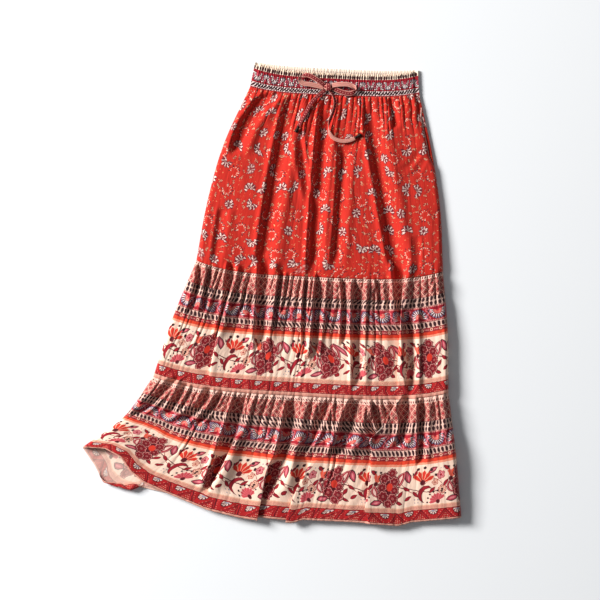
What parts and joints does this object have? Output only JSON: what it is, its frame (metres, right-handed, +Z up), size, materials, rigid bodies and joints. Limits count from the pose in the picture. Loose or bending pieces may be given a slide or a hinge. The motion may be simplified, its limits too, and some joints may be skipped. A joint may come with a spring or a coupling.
{
  "type": "maxi skirt",
  "caption": "Tiered maxi skirt laid flat, with a gathered elastic waistband, a tied drawstring, gathered border-print tiers and a side pocket.",
  "frame": {"origin": "middle of the laid skirt's outline, on the surface that it lies on", "axes": "+Z up from the surface, +Y along the skirt towards the waist, +X across the skirt towards the side with the pocket"},
  "size_m": [0.7308, 0.8943, 0.0226],
  "materials": {
    "red_print": "matte crinkled cloth, orange-red with small scattered flowers",
    "border_print": "matte crinkled cloth, printed with rows of border patterns and a wide flower band",
    "band_print": "matte crinkled cloth, printed with a narrow border",
    "tie_cloth": "matte printed cloth, folded and stitched",
    "dark_metal": "dark satin metal"
  },
  "bodies": {
    "root": {"waistband_front": "band_print", "waistband_back": "band_print", "upper_front": "red_print", "upper_back": "red_print", "middle_front": "border_print", "middle_back": "border_print", "lower_front": "border_print", "lower_back": "border_print", "pocket_facing": "red_print", "tie_knot": "tie_cloth", "tie_loop_left": "tie_cloth", "tie_loop_right": "tie_cloth", "tie_tail_left": "tie_cloth", "tie_tail_right": "tie_cloth", "tie_tip_left": "dark_metal", "tie_tip_right": "dark_metal"}
  },
  "joints": []
}
